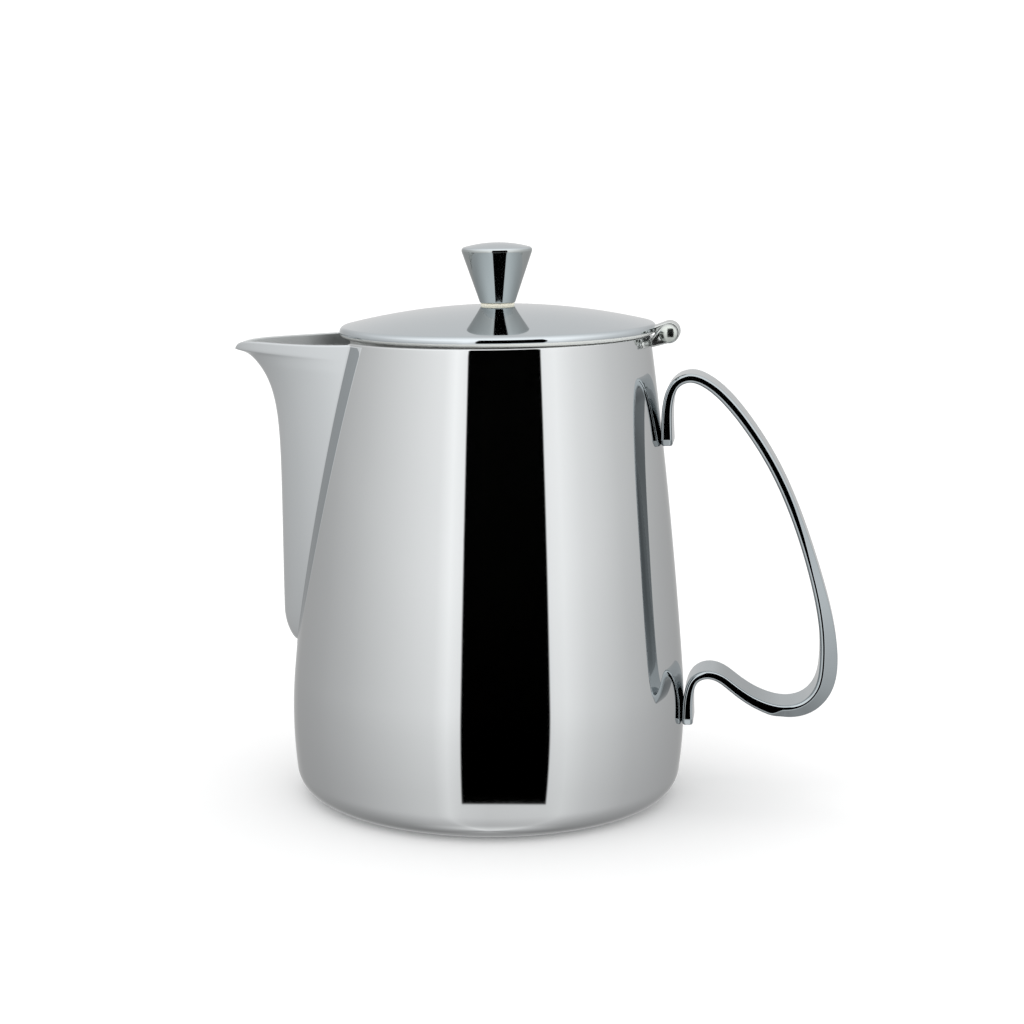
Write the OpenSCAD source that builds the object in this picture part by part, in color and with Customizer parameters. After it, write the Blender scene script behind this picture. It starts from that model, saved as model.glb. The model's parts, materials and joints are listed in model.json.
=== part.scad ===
// Coffee pot: tapered round body, folded spout, strap handle and a hinged lid with a knob.
// Millimetres, +Z up, +X towards the handle, origin at the centre of the base.

/* [Body] */
// Largest outside diameter, a little above the base
body_d = 110; // [104:1:116]
// Height of the rim above the table, on the axis
body_h = 128.6; // [125:0.1:132]
// Rise of the rim and the closed lid from the spout towards the hinge, degrees
rim_rise = 1.2; // [0.8:0.1:1.4]
// Sheet thickness of the body wall
wall_t = 0.9; // [0.7:0.1:1.1]
// Angle of the wall from the vertical at the rim, degrees
rim_lean = 8.2; // [7.8:0.1:8.6]
// Angle of the wall where the long taper ends and the belly begins, degrees
belly_lean = 4.8; // [4.4:0.1:5.2]
// Inward angle of the belly where the bottom corner begins, degrees
heel_lean = 6.9; // [6:0.1:8]
// Radius of the belly curve
belly_r = 137; // [120:1:150]
// Radius of the bottom corner
corner_r = 8.4; // [7:0.1:9]

/* [Spout] */
// Sheet thickness of the spout
spout_t = 0.9; // [0.7:0.1:1.1]
// Height at which the spout leaves the body
spout_z = 42; // [40:0.5:44]
// Half width of the spout where it meets the rim
spout_w = 28.4; // [27:0.1:30]
// Distance of the spout front from the axis, half way up
spout_front = 58.9; // [58:0.1:61]
// Forward flare of the lip
lip_flare = 10.1; // [8:0.1:12]
// Extra reach of the pouring point
lip_point = 2.6; // [1:0.1:3]
// Half width of the pouring window in the body wall, in its lower round part
window_w = 16.5; // [12:0.5:17]
// Half width of the pouring window at the rim
window_top_w = 27; // [24:0.5:27]

/* [Handle] */
// Width of the handle strap
strap_w = 14; // [12:0.5:15]
// Chamfer along the edges of the strap
strap_edge = 0.5; // [0.3:0.1:0.7]

/* [Lid] */
// Largest radius of the lid
lid_r = 43.5; // [43.2:0.1:43.7]
// Distance from the axis of the body to the centre of the lid, towards the hinge
lid_shift = 1.9; // [1.6:0.1:2]
// Sheet thickness of the lid
lid_t = 0.8; // [0.6:0.1:1]
// Radius of the rolled edge of the lid
lid_edge_r = 1.5; // [1.3:0.1:1.6]
// Radius of the dome of the lid
dome_r = 180; // [170:5:200]
// Gap between the closed lid and the rim
lid_gap = 0.15; // [0.1:0.05:0.3]
// Depth of the locating ring under the lid
ring_h = 4; // [3:0.5:5]

/* [Knob] */
// Radius of the knob at its foot
knob_foot_r = 4.9; // [4.4:0.1:5.4]
// Radius of the knob at its top
knob_top_r = 9.7; // [8.5:0.1:10]
// Height of the knob up to the edge of its top
knob_h = 14.3; // [12:0.1:16]
// Thickness of the ring under the knob
foot_ring_h = 0.6; // [0.4:0.1:1.4]

/* [Hinge] */
// Distance of the hinge axis from the axis of the body
hinge_x = 49; // [48.9:0.1:49.6]
// Height of the hinge axis above the rim
hinge_up = 1.7; // [1.5:0.1:2]
// Radius of the hinge pin
pin_r = 1.1; // [1:0.05:1.2]
// Running clearance of the lid knuckle on the pin
pin_gap = 0.05; // [0.03:0.01:0.08]
// Half length of the hinge barrel
barrel_half = 7.4; // [6.8:0.1:8]

/* [Hidden] */
$fn = 96;
// Depth to which welded parts sink into each other
weld = 0.3;
// How far a cutting shape reaches past what it cuts
spare = 5;

// ---- Body outline: a long taper, a belly and a corner, each an arc tangent to the next ----
belly_drop = belly_r * (sin(belly_lean) + sin(heel_lean));
corner_drop = corner_r * (1 - sin(heel_lean));
taper_r = (body_h - belly_drop - corner_drop) / (sin(rim_lean) - sin(belly_lean));
belly_cx = body_d / 2 - belly_r;
belly_cz = corner_drop + belly_r * sin(heel_lean);
taper_cx = belly_cx + (belly_r - taper_r) * cos(belly_lean);
taper_cz = belly_cz + (belly_r - taper_r) * sin(belly_lean);
corner_cx = belly_cx + (belly_r - corner_r) * cos(heel_lean);
// The wall is drawn past the rim by this much and then cut along the slanted plane of the rim
rim_extra = 2;
top_lean = asin(sin(rim_lean) + rim_extra / taper_r);

function arc(cx, cz, r, a0, a1, n) = [
    for (i = [0:n]) [cx + r * cos(a0 + (a1 - a0) * i / n), cz + r * sin(a0 + (a1 - a0) * i / n)]
];
// Wall outline from above the rim to the flat of the base, moved inwards by t
function wall_line(t) = concat(
    arc(taper_cx, taper_cz, taper_r - t, top_lean, belly_lean, 12),
    arc(belly_cx, belly_cz, belly_r - t, belly_lean - 1, -heel_lean, 12),
    arc(corner_cx, corner_r, corner_r - t, -heel_lean - 8, -90, 9)
);
// Outside radius of the wall at height z
function wall_r(z) =
    z > taper_cz + taper_r * sin(belly_lean)
    ? taper_cx + sqrt(taper_r * taper_r - (z - taper_cz) * (z - taper_cz))
    : belly_cx + sqrt(belly_r * belly_r - (z - belly_cz) * (z - belly_cz));

window_z = 80;

module window() {
    rotate([90, 0, -90])
    linear_extrude(body_d)
    union() {
        translate([0, window_z])
        circle(r = window_w);
        polygon([
            [-window_w, window_z],
            [window_w, window_z],
            [window_top_w, body_h],
            [window_top_w, body_h + spare],
            [-window_top_w, body_h + spare],
            [-window_top_w, body_h]
        ]);
    }
}

module above_rim() {
    translate([0, 0, body_h])
    rotate([0, -rim_rise, 0])
    translate([-body_d / 2, -body_d / 2, 0])
    cube([body_d, body_d, spare]);
}

module body_shell() {
    color("silver")
    difference() {
        rotate_extrude()
        polygon(concat(
            wall_line(0),
            [[0, 0], [0, wall_t]],
            [for (i = [len(wall_line(wall_t)) - 1:-1:0]) wall_line(wall_t)[i]]
        ));
        window();
        above_rim();
    }
}

// ---- Spout: a folded sheet with a round nose, open at the top and towards the body ----
spout_rows = 40;
spout_cols = 14;
lip_drop = 5.4;
lip_z = body_h - lip_drop;
foot_z = spout_z + 9;
edge_step = 0.2;
edge_dip = 1.4;
point_w = 0.12;
flare_end = 0.03;
// Heights over which the flare, the pouring point and the pinch of the nose fade out below the lip
flare_h = 7.6;
point_h = 0.5;
pinch_h = 8;
// Forward lean of the front of the spout, as a slope
front_lean = 0.011;
// How deep the outer and the inner skin of the spout sink into the wall at the seam
skin_sink = 0.1;
lining_sink = 0.45;
// Fullness of the nose, as a share of the half width, and how much narrower it gets at the lip
nose_full = 0.3;
nose_pinch = 0.1;
// Angle between the side of the spout and the X axis at the seam, near the lip
side_lean = 27;
// Growth of that angle per millimetre below this height
side_turn = 0.33;
side_z = 120;
side_reach = 0.42;

// Height of the top edge: just below the rim at the body, lower towards the pouring point
edge_top = body_h - edge_step - sqrt(pow(wall_r(body_h), 2) - spout_w * spout_w) * tan(rim_rise);
function edge_z(t) = edge_top - edge_dip * (1 - pow(t, 4))
    - (edge_top - lip_z - edge_dip) * exp(-abs(t) / point_w);
// Rows are close together in the rounded foot of the spout
function row_z(i, t) = i < 8
    ? foot_z - (foot_z - spout_z) * cos(90 * i / 8)
    : foot_z + (edge_z(t) - foot_z) * (i - 8) / (spout_rows - 8);
function foot_swell(z) = z < foot_z ? sqrt(1 - pow((foot_z - z) / (foot_z - spout_z + 0.2), 2)) : 1;
function seam_w(z) = spout_w * pow((z - spout_z + 0.4) / (body_h - spout_z), 0.3);
function seam_x(z) = sqrt(pow(wall_r(z), 2) - pow(seam_w(z), 2));
// Grows exponentially up to 1 and then levels off
function flare(u) = u < 0 ? exp(u) : 1 + flare_end * (1 - exp(-u / flare_end));
function front_x(z) = wall_r(spout_z)
    + (spout_front - 0.4 - wall_r(spout_z)) * foot_swell(z)
    + front_lean * max(z - foot_z, 0)
    + lip_flare * flare((z - lip_z) / flare_h);
function point_x(z) = lip_point * exp((min(z, lip_z) - lip_z) / point_h);
function nose_w(z) = seam_w(z) * (nose_full - nose_pinch * exp((min(z, lip_z) - lip_z) / pinch_h));
function lean(z) = side_lean + side_turn * max(side_z - z, 0);
// Half of a section of the spout is a Bezier curve from the seam, u = 0, to the nose, u = 1
function bezier(a, b, c, d, u) = pow(1 - u, 3) * a + 3 * u * pow(1 - u, 2) * b
    + 3 * u * u * (1 - u) * c + pow(u, 3) * d;
function half_skin(z, u) = let (
    seam = [-seam_x(z), seam_w(z)],
    nose = [-front_x(z) - point_x(z), 0],
    reach = side_reach * norm(nose - seam)
) bezier(seam, seam - reach * [cos(lean(z)), sin(lean(z))], [-front_x(z), nose_w(z)], nose, u);
function skin(z, t) = let (p = half_skin(z, 1 - abs(t))) [p[0], t < 0 ? -p[1] : p[1]];
// Keeps a point outside a cylinder of radius r about the axis
function outside(p, r) = norm(p) < r ? p * (r / norm(p)) : p;
function skin_step(z, t) = skin(z, min(t + 0.02, 1)) - skin(z, max(t - 0.02, -1));
function inward(z, t) = [skin_step(z, t)[1], -skin_step(z, t)[0]] / norm(skin_step(z, t));
function col_t(j) = sign(j) * pow(abs(j) / spout_cols, 1.3);
function outer_point(z, t) = concat(outside(skin(z, t), wall_r(z) - skin_sink), z);
function inner_point(z, t) = concat(outside(skin(z, t) + spout_t * inward(z, t), wall_r(z) - lining_sink), z);

module spout() {
    per_row = 2 * spout_cols + 1;
    skin_size = (spout_rows + 1) * per_row;
    outer = [
        for (i = [0:spout_rows]) for (j = [-spout_cols:spout_cols])
        outer_point(row_z(i, col_t(j)), col_t(j))
    ];
    inner = [
        for (i = [0:spout_rows]) for (j = [-spout_cols:spout_cols])
        inner_point(row_z(i, col_t(j)), col_t(j))
    ];
    cells = [for (i = [0:spout_rows - 1]) for (j = [0:per_row - 2]) i * per_row + j];
    last = spout_rows * per_row;
    faces = concat(
        [for (a = cells) each [[a, a + per_row, a + 1], [a + 1, a + per_row, a + per_row + 1]]],
        [for (a = cells) each [
            [a + skin_size, a + 1 + skin_size, a + per_row + skin_size],
            [a + 1 + skin_size, a + per_row + 1 + skin_size, a + per_row + skin_size]
        ]],
        [for (j = [0:per_row - 2]) each [
            [j, j + 1, j + skin_size],
            [j + 1, j + 1 + skin_size, j + skin_size]
        ]],
        [for (j = [0:per_row - 2]) each [
            [last + j, last + j + skin_size, last + j + 1],
            [last + j + 1, last + j + skin_size, last + j + 1 + skin_size]
        ]],
        [for (i = [0:spout_rows - 1]) each [
            [i * per_row, i * per_row + skin_size, (i + 1) * per_row],
            [(i + 1) * per_row, i * per_row + skin_size, (i + 1) * per_row + skin_size]
        ]],
        [for (i = [0:spout_rows - 1]) let (b = i * per_row + per_row - 1) each [
            [b, b + per_row, b + skin_size],
            [b + per_row, b + per_row + skin_size, b + skin_size]
        ]]
    );
    color("lightgray")
    polyhedron(points = concat(outer, inner), faces = faces, convexity = 6);
}

// ---- Handle: one bent strap; its middle line is a smooth curve through these points ----
// Distance from the axis, height above the base, thickness
strap_line = [
    [49.2, 99.6, 3.2],
    [49, 106.2, 2.9],
    [49.4, 112.2, 2.6],
    [51.4, 116.7, 2.5],
    [55.1, 118.3, 2.5],
    [59.6, 116.9, 2.5],
    [65.1, 112.5, 2.6],
    [71.3, 105.1, 2.6],
    [78.2, 94.5, 2.6],
    [85, 80, 2.7],
    [90.5, 64, 3.2],
    [93.9, 50, 4.2],
    [94.7, 40, 5],
    [93.4, 32.8, 5],
    [89.6, 28.2, 4.6],
    [84.1, 26.5, 3.9],
    [78.1, 27.5, 3.2],
    [72.7, 30, 2.8],
    [68.3, 33.1, 2.6],
    [64.7, 35.5, 2.5],
    [61.2, 36.1, 2.4],
    [58.2, 34.6, 2.3],
    [56.7, 31.1, 2.5],
    [56.3, 26.6, 2.8],
    [56.4, 21.6, 3]
];
strap_steps = 6;
dir_step = 0.05;
// Stations between which the outer edges are chamfered, the run-out and the flat left
cut_from = 8.7;
cut_to = 15.8;
cut_run = 0.6;
cut_flat = 0.3;

function strap_node(i) = strap_line[max(0, min(len(strap_line) - 1, i))];
function blend(a, b, c, d, u) = 0.5 * (2 * b + (c - a) * u + (2 * a - 5 * b + 4 * c - d) * u * u
    + (3 * b - a - 3 * c + d) * u * u * u);
function strap_at(s) = let (i = min(floor(s), len(strap_line) - 2))
    blend(strap_node(i - 1), strap_node(i), strap_node(i + 1), strap_node(i + 2), s - i);
function strap_dir(s) = let (
    last = len(strap_line) - 1,
    d = strap_at(min(s + dir_step, last)) - strap_at(max(s - dir_step, 0))
) [d[0], d[1]] / norm([d[0], d[1]]);
// Round the outer bend the chamfers on the outer edges grow until only a narrow flat is left of the side
function clamp(u) = max(0, min(1, u));
function strap_cut(s, t) = clamp((s - cut_from) / cut_run) * clamp((cut_to - s) / cut_run)
    * (t - 2 * strap_edge - cut_flat);
// Across the strap: half width and half thickness with a chamfer on each edge, c more on the outer ones
function strap_section(t, c) = [
    [strap_w / 2, t / 2 - strap_edge - c],
    [strap_w / 2 - strap_edge - c, t / 2],
    [strap_edge + c - strap_w / 2, t / 2],
    [-strap_w / 2, t / 2 - strap_edge - c],
    [-strap_w / 2, strap_edge - t / 2],
    [strap_edge - strap_w / 2, -t / 2],
    [strap_w / 2 - strap_edge, -t / 2],
    [strap_w / 2, strap_edge - t / 2]
];

module handle() {
    stations = strap_steps * (len(strap_line) - 1);
    points = [
        for (k = [0:stations]) let (s = k / strap_steps, c = strap_at(s), d = strap_dir(s))
        for (q = strap_section(c[2], strap_cut(s, c[2]))) [c[0] - d[1] * q[1], q[0], c[1] + d[0] * q[1]]
    ];
    faces = concat(
        [[for (m = [0:7]) m]],
        [for (k = [0:stations - 1]) for (m = [0:7]) let (a = 8 * k + m, b = 8 * k + (m + 1) % 8) each [
            [a, a + 8, b],
            [b, a + 8, b + 8]
        ]],
        [[for (m = [7:-1:0]) 8 * stations + m]]
    );
    color("gainsboro")
    polyhedron(points = points, faces = faces, convexity = 6);
}

// ---- Hinge: a bracket on the body, a pin, and a leaf rolled round the pin on the lid ----
hinge_z = body_h + hinge_up;
bracket_z0 = body_h - 1.9;
bracket_z1 = body_h - 0.1;
bracket_t = 1;
bracket_sweep = 36;
outer_knuckle_r = 2.45;
leaf_knuckle_r = 2.9;
leaf_half = 3.9;
leaf_t = 1.2;
leaf_reach = 1.5;
side_gap = 0.4;
head_r = 2.25;
head_rim = 0.2;
head_dome_r = 4.1;
head_dome_lean = asin(head_r / head_dome_r);

module along_y(y0, y1) {
    translate([0, y1, 0])
    rotate([90, 0, 0])
    linear_extrude(y1 - y0)
    children();
}

// A lug from the plate to the pin: a round eye with a straight web behind it
module lug() {
    translate([hinge_x, hinge_z])
    circle(r = outer_knuckle_r);
    polygon([
        [wall_r(bracket_z0) + 0.3, bracket_z0],
        [wall_r(bracket_z0) + bracket_t, bracket_z0],
        [hinge_x, hinge_z - outer_knuckle_r],
        [hinge_x - outer_knuckle_r * cos(30), hinge_z + outer_knuckle_r * sin(30)],
        [wall_r(bracket_z1) + 0.3, bracket_z1]
    ]);
}

module hinge_bracket() {
    color("darkgray")
    difference() {
        union() {
            rotate([0, 0, -bracket_sweep / 2])
            rotate_extrude(angle = bracket_sweep)
            polygon([
                [wall_r(bracket_z0) - weld, bracket_z0],
                [wall_r(bracket_z0) + bracket_t, bracket_z0],
                [wall_r(bracket_z1) + bracket_t, bracket_z1],
                [wall_r(bracket_z1) - weld, bracket_z1]
            ]);
            along_y(leaf_half + side_gap, barrel_half)
            lug();
            along_y(-barrel_half, -leaf_half - side_gap)
            lug();
        }
        translate([hinge_x, 0, hinge_z])
        rotate([90, 0, 0])
        cylinder(h = 4 * barrel_half, r = pin_r, center = true);
    }
}

// A domed rivet head
module pin_head() {
    dome_z = head_rim - head_dome_r * cos(head_dome_lean);
    rotate_extrude()
    polygon(concat(
        [[0, 0], [head_r, 0]],
        arc(0, dome_z, head_dome_r, 90 - head_dome_lean, 88, 8),
        [[0, dome_z + head_dome_r]]
    ));
}

module hinge_pin() {
    color("whitesmoke")
    translate([hinge_x, 0, hinge_z])
    union() {
        rotate([90, 0, 0])
        cylinder(h = 2 * barrel_half, r = pin_r, center = true);
        translate([0, barrel_half, 0])
        rotate([-90, 0, 0])
        pin_head();
        translate([0, -barrel_half, 0])
        rotate([90, 0, 0])
        pin_head();
    }
}

module lid_hinge_leaf() {
    color("gray")
    difference() {
        along_y(-leaf_half, leaf_half)
        union() {
            translate([hinge_x, hinge_z])
            circle(r = leaf_knuckle_r);
            polygon([
                [leaf_x, leaf_z - leaf_t / 2],
                [hinge_x - leaf_reach, hinge_z - leaf_t / 2],
                [hinge_x - leaf_reach, hinge_z + leaf_t / 2],
                [leaf_x, leaf_z + leaf_t / 2]
            ]);
        }
        translate([hinge_x, 0, hinge_z])
        rotate([90, 0, 0])
        cylinder(h = 4 * leaf_half, r = pin_r + pin_gap, center = true);
    }
}

// ---- Lid: a shallow dome with a rolled edge and a short hem, and a ring that drops into the mouth ----
lid_edge_x = lid_r - lid_edge_r;
lid_edge_z = body_h + lid_gap + lid_edge_r;
dome_lean = asin(lid_edge_x / (dome_r - lid_edge_r));
dome_cz = lid_edge_z - (dome_r - lid_edge_r) * cos(dome_lean);
dome_top = dome_cz + dome_r;
leaf_sink = 0.6;
leaf_x = lid_shift + lid_r - leaf_sink;
leaf_z = lid_edge_z + leaf_x * sin(rim_rise);
hem_w = 2.6;
ring_inset = hem_w / 2;
hem_z = lid_edge_z - lid_edge_r;
screw_r = 2;
screw_hole_r = 2.15;

// The lid and everything on its axis follow the slant of the rim
module on_lid() {
    translate([0, 0, body_h])
    rotate([0, -rim_rise, 0])
    translate([lid_shift, 0, -body_h])
    children();
}

module lid_shell() {
    color("lightsteelblue")
    on_lid()
    difference() {
        rotate_extrude()
        polygon(concat(
            [[0, dome_top]],
            arc(0, dome_cz, dome_r, 89, 90 - dome_lean, 15),
            arc(lid_edge_x, lid_edge_z, lid_edge_r, 80 - dome_lean, -90, 16),
            [[lid_edge_x - hem_w, hem_z], [lid_edge_x - hem_w, hem_z + lid_t]],
            arc(lid_edge_x, lid_edge_z, lid_edge_r - lid_t, -90, 80 - dome_lean, 16),
            arc(0, dome_cz, dome_r - lid_t, 90 - dome_lean, 89, 15),
            [[0, dome_top - lid_t]]
        ));
        translate([0, 0, dome_top])
        cylinder(h = 4 * lid_t, r = screw_hole_r, center = true);
    }
}

module lid_locating_ring() {
    ring_r = lid_edge_x - ring_inset;
    color("slategray")
    on_lid()
    translate([0, 0, hem_z - ring_h])
    difference() {
        cylinder(h = ring_h + weld, r = ring_r);
        translate([0, 0, -1])
        cylinder(h = ring_h + 2, r = ring_r - lid_t);
    }
}

// ---- Knob: a cone that widens upwards, on a thin ring, held by a screw from inside the lid ----
knob_z = dome_top + foot_ring_h;
knob_edge_r = 1;
foot_ring_step = 0.25;
knob_dome_r = 34;
knob_side = atan((knob_top_r - knob_foot_r) / knob_h);
knob_edge_x = knob_top_r - knob_edge_r;
knob_dome_lean = asin(knob_edge_x / (knob_dome_r - knob_edge_r));
knob_dome_z = knob_z + knob_h - (knob_dome_r - knob_edge_r) * cos(knob_dome_lean);
screw_grip = 8;
washer_r = 4.5;
washer_h = 0.8;
washer_top = dome_cz + sqrt(pow(dome_r - lid_t, 2) - washer_r * washer_r) - 0.02;
screw_head_r = 3.6;
screw_head_h = 2.4;
head_overlap = 0.1;
hex_h = 2.4;
hex_r = 1.4;

module knob() {
    color("silver")
    on_lid()
    difference() {
        rotate_extrude()
        polygon(concat(
            [[0, knob_z], [knob_foot_r, knob_z]],
            arc(knob_edge_x, knob_z + knob_h, knob_edge_r, -knob_side, 90 - knob_dome_lean, 8),
            arc(0, knob_dome_z, knob_dome_r, 88 - knob_dome_lean, 89, 8),
            [[0, knob_dome_z + knob_dome_r]]
        ));
        translate([0, 0, knob_z - 1])
        cylinder(h = screw_grip + 2, r = screw_r);
    }
}

module knob_foot_ring() {
    color("ivory")
    on_lid()
    translate([0, 0, dome_top])
    difference() {
        cylinder(h = foot_ring_h, r = knob_foot_r - foot_ring_step);
        translate([0, 0, -1])
        cylinder(h = foot_ring_h + 2, r = screw_hole_r);
    }
}

module knob_screw() {
    color("dimgray")
    on_lid()
    difference() {
        union() {
            translate([0, 0, washer_top - washer_h - screw_head_h])
            cylinder(h = screw_head_h, r = screw_head_r);
            translate([0, 0, washer_top - washer_h - head_overlap])
            cylinder(h = knob_z + screw_grip - washer_top + washer_h + head_overlap, r = screw_r);
        }
        translate([0, 0, washer_top - washer_h - screw_head_h - 1])
        cylinder(h = hex_h, r = hex_r, $fn = 6);
    }
}

module knob_screw_washer() {
    color("darkgray")
    on_lid()
    translate([0, 0, washer_top - washer_h])
    difference() {
        cylinder(h = washer_h, r = washer_r);
        translate([0, 0, -1])
        cylinder(h = washer_h + 2, r = screw_hole_r);
    }
}

body_shell();
spout();
handle();
hinge_bracket();
hinge_pin();
lid_shell();
lid_locating_ring();
lid_hinge_leaf();
knob();
knob_foot_ring();
knob_screw();
knob_screw_washer();
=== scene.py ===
"""Coffee pot in mirror-polished steel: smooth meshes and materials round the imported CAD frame.
The pot's sizes are in millimetres and degrees, and a mesh is scaled to metres when it is made. The studio
and what the materials measure are in metres."""
import json
import math

import bmesh
import bpy
import numpy as np
from mathutils import Matrix, Vector

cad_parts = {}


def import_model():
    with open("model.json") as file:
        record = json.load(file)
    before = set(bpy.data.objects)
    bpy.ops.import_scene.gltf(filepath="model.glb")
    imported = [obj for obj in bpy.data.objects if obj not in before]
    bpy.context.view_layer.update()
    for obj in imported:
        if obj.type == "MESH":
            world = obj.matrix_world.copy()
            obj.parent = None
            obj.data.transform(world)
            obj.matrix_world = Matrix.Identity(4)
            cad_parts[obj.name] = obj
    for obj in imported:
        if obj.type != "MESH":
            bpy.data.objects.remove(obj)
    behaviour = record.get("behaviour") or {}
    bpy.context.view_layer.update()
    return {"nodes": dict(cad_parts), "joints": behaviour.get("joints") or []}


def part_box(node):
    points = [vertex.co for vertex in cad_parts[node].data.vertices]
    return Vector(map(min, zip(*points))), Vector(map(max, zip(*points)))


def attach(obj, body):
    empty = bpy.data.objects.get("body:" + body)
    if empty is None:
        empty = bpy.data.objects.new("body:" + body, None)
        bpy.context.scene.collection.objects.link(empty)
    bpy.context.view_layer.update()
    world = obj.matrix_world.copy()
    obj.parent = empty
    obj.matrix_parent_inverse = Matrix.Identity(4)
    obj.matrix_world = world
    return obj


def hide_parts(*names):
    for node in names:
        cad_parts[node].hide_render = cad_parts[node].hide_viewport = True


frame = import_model()
MM = 0.001


# ---------------------------------------------------------------- sizes, from the frame
def box_mm(node):
    low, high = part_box(node)
    return np.array(low) / MM, np.array(high) / MM


shell_high = box_mm("body_shell")[1]
lid_low, lid_high = box_mm("lid_shell")
ring_low, ring_high = box_mm("knob_foot_ring")
hinge_x, _, hinge_z = [v / MM for v in frame["joints"][0]["pos_m"]]

BODY_R = shell_high[0]
# The hinge axis lies this far above the rim's height on the pot's axis
HINGE_UP = 1.7
BODY_H = hinge_z - HINGE_UP
# The rim rises by this angle towards the hinge
RIM_RISE = 1.2
WALL_T = 0.9
# Inward lean of the wall at the rim and where its two long arcs meet, and its outward lean at the heel
RIM_LEAN, BELLY_LEAN, HEEL_LEAN = 8.2, 4.8, 6.9
# Radii of the lower long arc and of the bottom corner
BELLY_R, CORNER_R = 137.0, 8.4
tan_rise = math.tan(math.radians(RIM_RISE))

# Round edges are built at these angles between their two ends
CAP_ANGLES = range(20, 180, 20)
TINY = 1e-6


def sin_d(a):
    return math.sin(math.radians(a))


def cos_d(a):
    return math.cos(math.radians(a))


def arc(cx, cz, r, a0, a1, n):
    """n + 1 points on an arc from angle a0 to a1, as (radius, height) pairs."""
    return [(cx + r * cos_d(a), cz + r * sin_d(a)) for a in np.linspace(a0, a1, n + 1)]


# Wall outline: three arcs, each tangent to the next
belly_drop = BELLY_R * (sin_d(BELLY_LEAN) + sin_d(HEEL_LEAN))
corner_drop = CORNER_R * (1 - sin_d(HEEL_LEAN))
taper_r = (BODY_H - belly_drop - corner_drop) / (sin_d(RIM_LEAN) - sin_d(BELLY_LEAN))
belly_cx = BODY_R - BELLY_R
belly_cz = corner_drop + BELLY_R * sin_d(HEEL_LEAN)
taper_cx = belly_cx + (BELLY_R - taper_r) * cos_d(BELLY_LEAN)
taper_cz = belly_cz + (BELLY_R - taper_r) * sin_d(BELLY_LEAN)
corner_cx = belly_cx + (BELLY_R - CORNER_R) * cos_d(HEEL_LEAN)
belly_top = belly_cz + BELLY_R * sin_d(BELLY_LEAN)


def wall_r(z, inset=0.0):
    """Radius of the wall at height z, above the bottom corner; inset moves it inwards."""
    z = np.asarray(z, float)
    taper = taper_cx + np.sqrt(np.maximum((taper_r - inset) ** 2 - (z - taper_cz) ** 2, 0))
    belly = belly_cx + np.sqrt(np.maximum((BELLY_R - inset) ** 2 - (z - belly_cz) ** 2, 0))
    return np.where(z > belly_top, taper, belly)


# ---------------------------------------------------------------- mesh helpers
MERGE_DIST = 1e-7


def finish_mesh(name, points, faces, body, material, nodes, zones=()):
    """Makes a closed smooth mesh and seats it in the frame. zones holds pairs of a material and the set of
    faces that take it."""
    mesh = bpy.data.meshes.new(name)
    mesh.from_pydata([tuple(p * MM for p in q) for q in points], [], faces)
    for k, (_, members) in enumerate(zones):
        for face in members:
            mesh.polygons[face].material_index = k + 1
    bm = bmesh.new()
    bm.from_mesh(mesh)
    bmesh.ops.remove_doubles(bm, verts=bm.verts, dist=MERGE_DIST)
    bmesh.ops.dissolve_degenerate(bm, edges=bm.edges, dist=MERGE_DIST)
    bmesh.ops.recalc_face_normals(bm, faces=bm.faces)
    bm.to_mesh(mesh)
    bm.free()
    mesh.polygons.foreach_set("use_smooth", [True] * len(mesh.polygons))
    for look in (material, *(look for look, _ in zones)):
        mesh.materials.append(look)
    piece = bpy.data.objects.new(name, mesh)
    bpy.context.scene.collection.objects.link(piece)
    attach(piece, body)
    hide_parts(*nodes)


def grid_faces(rows, cols, wrap_cols=False, wrap_rows=False, skip=None):
    """Four-sided faces over a grid of points, without those for which skip(row, column) holds."""
    faces = []
    for i in range(rows if wrap_rows else rows - 1):
        for j in range(cols if wrap_cols else cols - 1):
            if skip is None or not skip(i, j):
                a, b = i * cols + j, i * cols + (j + 1) % cols
                c, d = ((i + 1) % rows) * cols + (j + 1) % cols, ((i + 1) % rows) * cols + j
                faces.append((a, b, c, d))
    return faces


def revolve(outline, segments, closed=False):
    """Points and faces of an outline of (radius, height) pairs turned about the Z axis. A closed outline is
    joined from its last point to its first; an open one starts and ends on the axis."""
    turn = np.radians(np.arange(segments) * 360 / segments)
    r, z = np.array(outline).T
    points = np.stack([np.outer(r, np.cos(turn)), np.outer(r, np.sin(turn)),
                       np.repeat(z[:, None], segments, 1)], -1).reshape(-1, 3)
    return points, grid_faces(len(outline), segments, wrap_cols=True, wrap_rows=closed)


def tube(rings):
    """Points and faces of a row of closed sections, with a flat face at each end."""
    points = np.array(rings)
    rows, cols = points.shape[:2]
    faces = grid_faces(rows, cols, wrap_cols=True)
    faces.append(tuple(range(cols)))
    faces.append(tuple((rows - 1) * cols + j for j in reversed(range(cols))))
    return points.reshape(-1, 3), faces


def held(outline, hold=0.12):
    """Adds a point close to both sides of each inner point, so that flats shade flat."""
    kept = [outline[0]]
    for a, b, c in zip(outline, outline[1:], outline[2:]):
        a, b, c = (np.array(p, float) for p in (a, b, c))
        u, v = b - a, c - b
        lu, lv = np.linalg.norm(u), np.linalg.norm(v)
        if lu > 4 * hold:
            kept.append(tuple(b - u / lu * hold))
        kept.append(tuple(b))
        if lv > 4 * hold:
            kept.append(tuple(b + v / lv * hold))
    return kept + [outline[-1]]


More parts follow.
